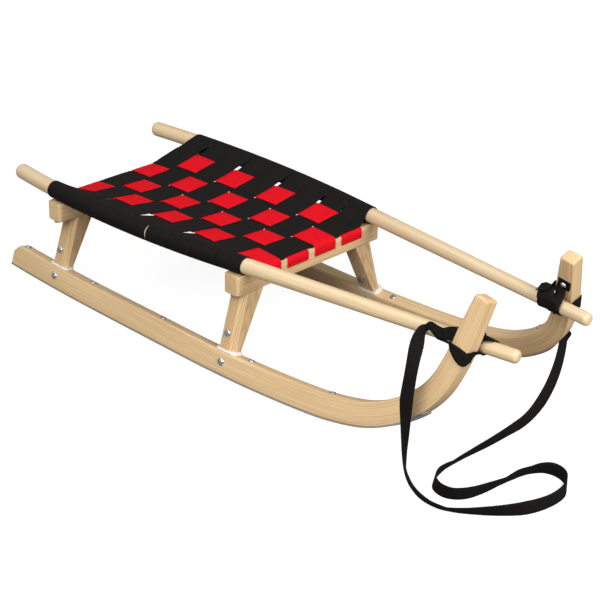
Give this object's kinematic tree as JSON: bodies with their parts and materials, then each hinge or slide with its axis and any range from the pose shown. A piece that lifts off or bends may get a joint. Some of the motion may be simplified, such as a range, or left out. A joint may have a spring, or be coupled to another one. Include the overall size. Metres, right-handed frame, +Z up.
{
  "type": "two-seat touring sled",
  "caption": "Wooden touring sled with leaning upswept runners, legs, crossbars, round side rails, a woven webbing seat and a webbing tow strap.",
  "frame": {"origin": "on the floor below the middle of the sled without its tow strap", "axes": "+X forward towards the horns, +Y left, +Z up"},
  "size_m": [1.2048, 0.45, 0.2974],
  "materials": {
    "ash_wood": "clear satin varnish",
    "strip_steel": "plain flat steel",
    "fastener_steel": "zinc plated",
    "pad_plastic": "pale matt plastic",
    "black_webbing": "woven webbing",
    "red_webbing": "woven webbing",
    "strap_webbing": "woven webbing"
  },
  "bodies": {
    "root": {"cross_strap_1": "black_webbing", "cross_strap_2": "black_webbing", "cross_strap_3": "black_webbing", "cross_strap_4": "black_webbing", "cross_strap_5": "black_webbing", "cross_strap_6": "black_webbing", "cross_strap_7": "black_webbing", "cross_strap_8": "black_webbing", "cross_strap_9": "black_webbing", "crossbar_front": "ash_wood", "crossbar_rear": "ash_wood", "foot_pad_front_left": "pad_plastic", "foot_pad_front_right": "pad_plastic", "foot_pad_rear_left": "pad_plastic", "foot_pad_rear_right": "pad_plastic", "lashing_left": "strap_webbing", "lashing_right": "strap_webbing", "lashing_screw_left": "fastener_steel", "lashing_screw_right": "fastener_steel", "leg_front_left": "ash_wood", "leg_front_right": "ash_wood", "leg_rear_left": "ash_wood", "leg_rear_right": "ash_wood", "long_strap_a": "red_webbing", "long_strap_b": "red_webbing", "long_strap_c": "red_webbing", "long_strap_d": "red_webbing", "rail_bolts": "fastener_steel", "rail_left": "ash_wood", "rail_right": "ash_wood", "runner_left": "ash_wood", "runner_right": "ash_wood", "side_bolts_left": "fastener_steel", "side_bolts_right": "fastener_steel", "strip_left": "strip_steel", "strip_nuts_left": "fastener_steel", "strip_nuts_right": "fastener_steel", "strip_right": "strip_steel", "tow_strap": "strap_webbing"}
  },
  "joints": []
}
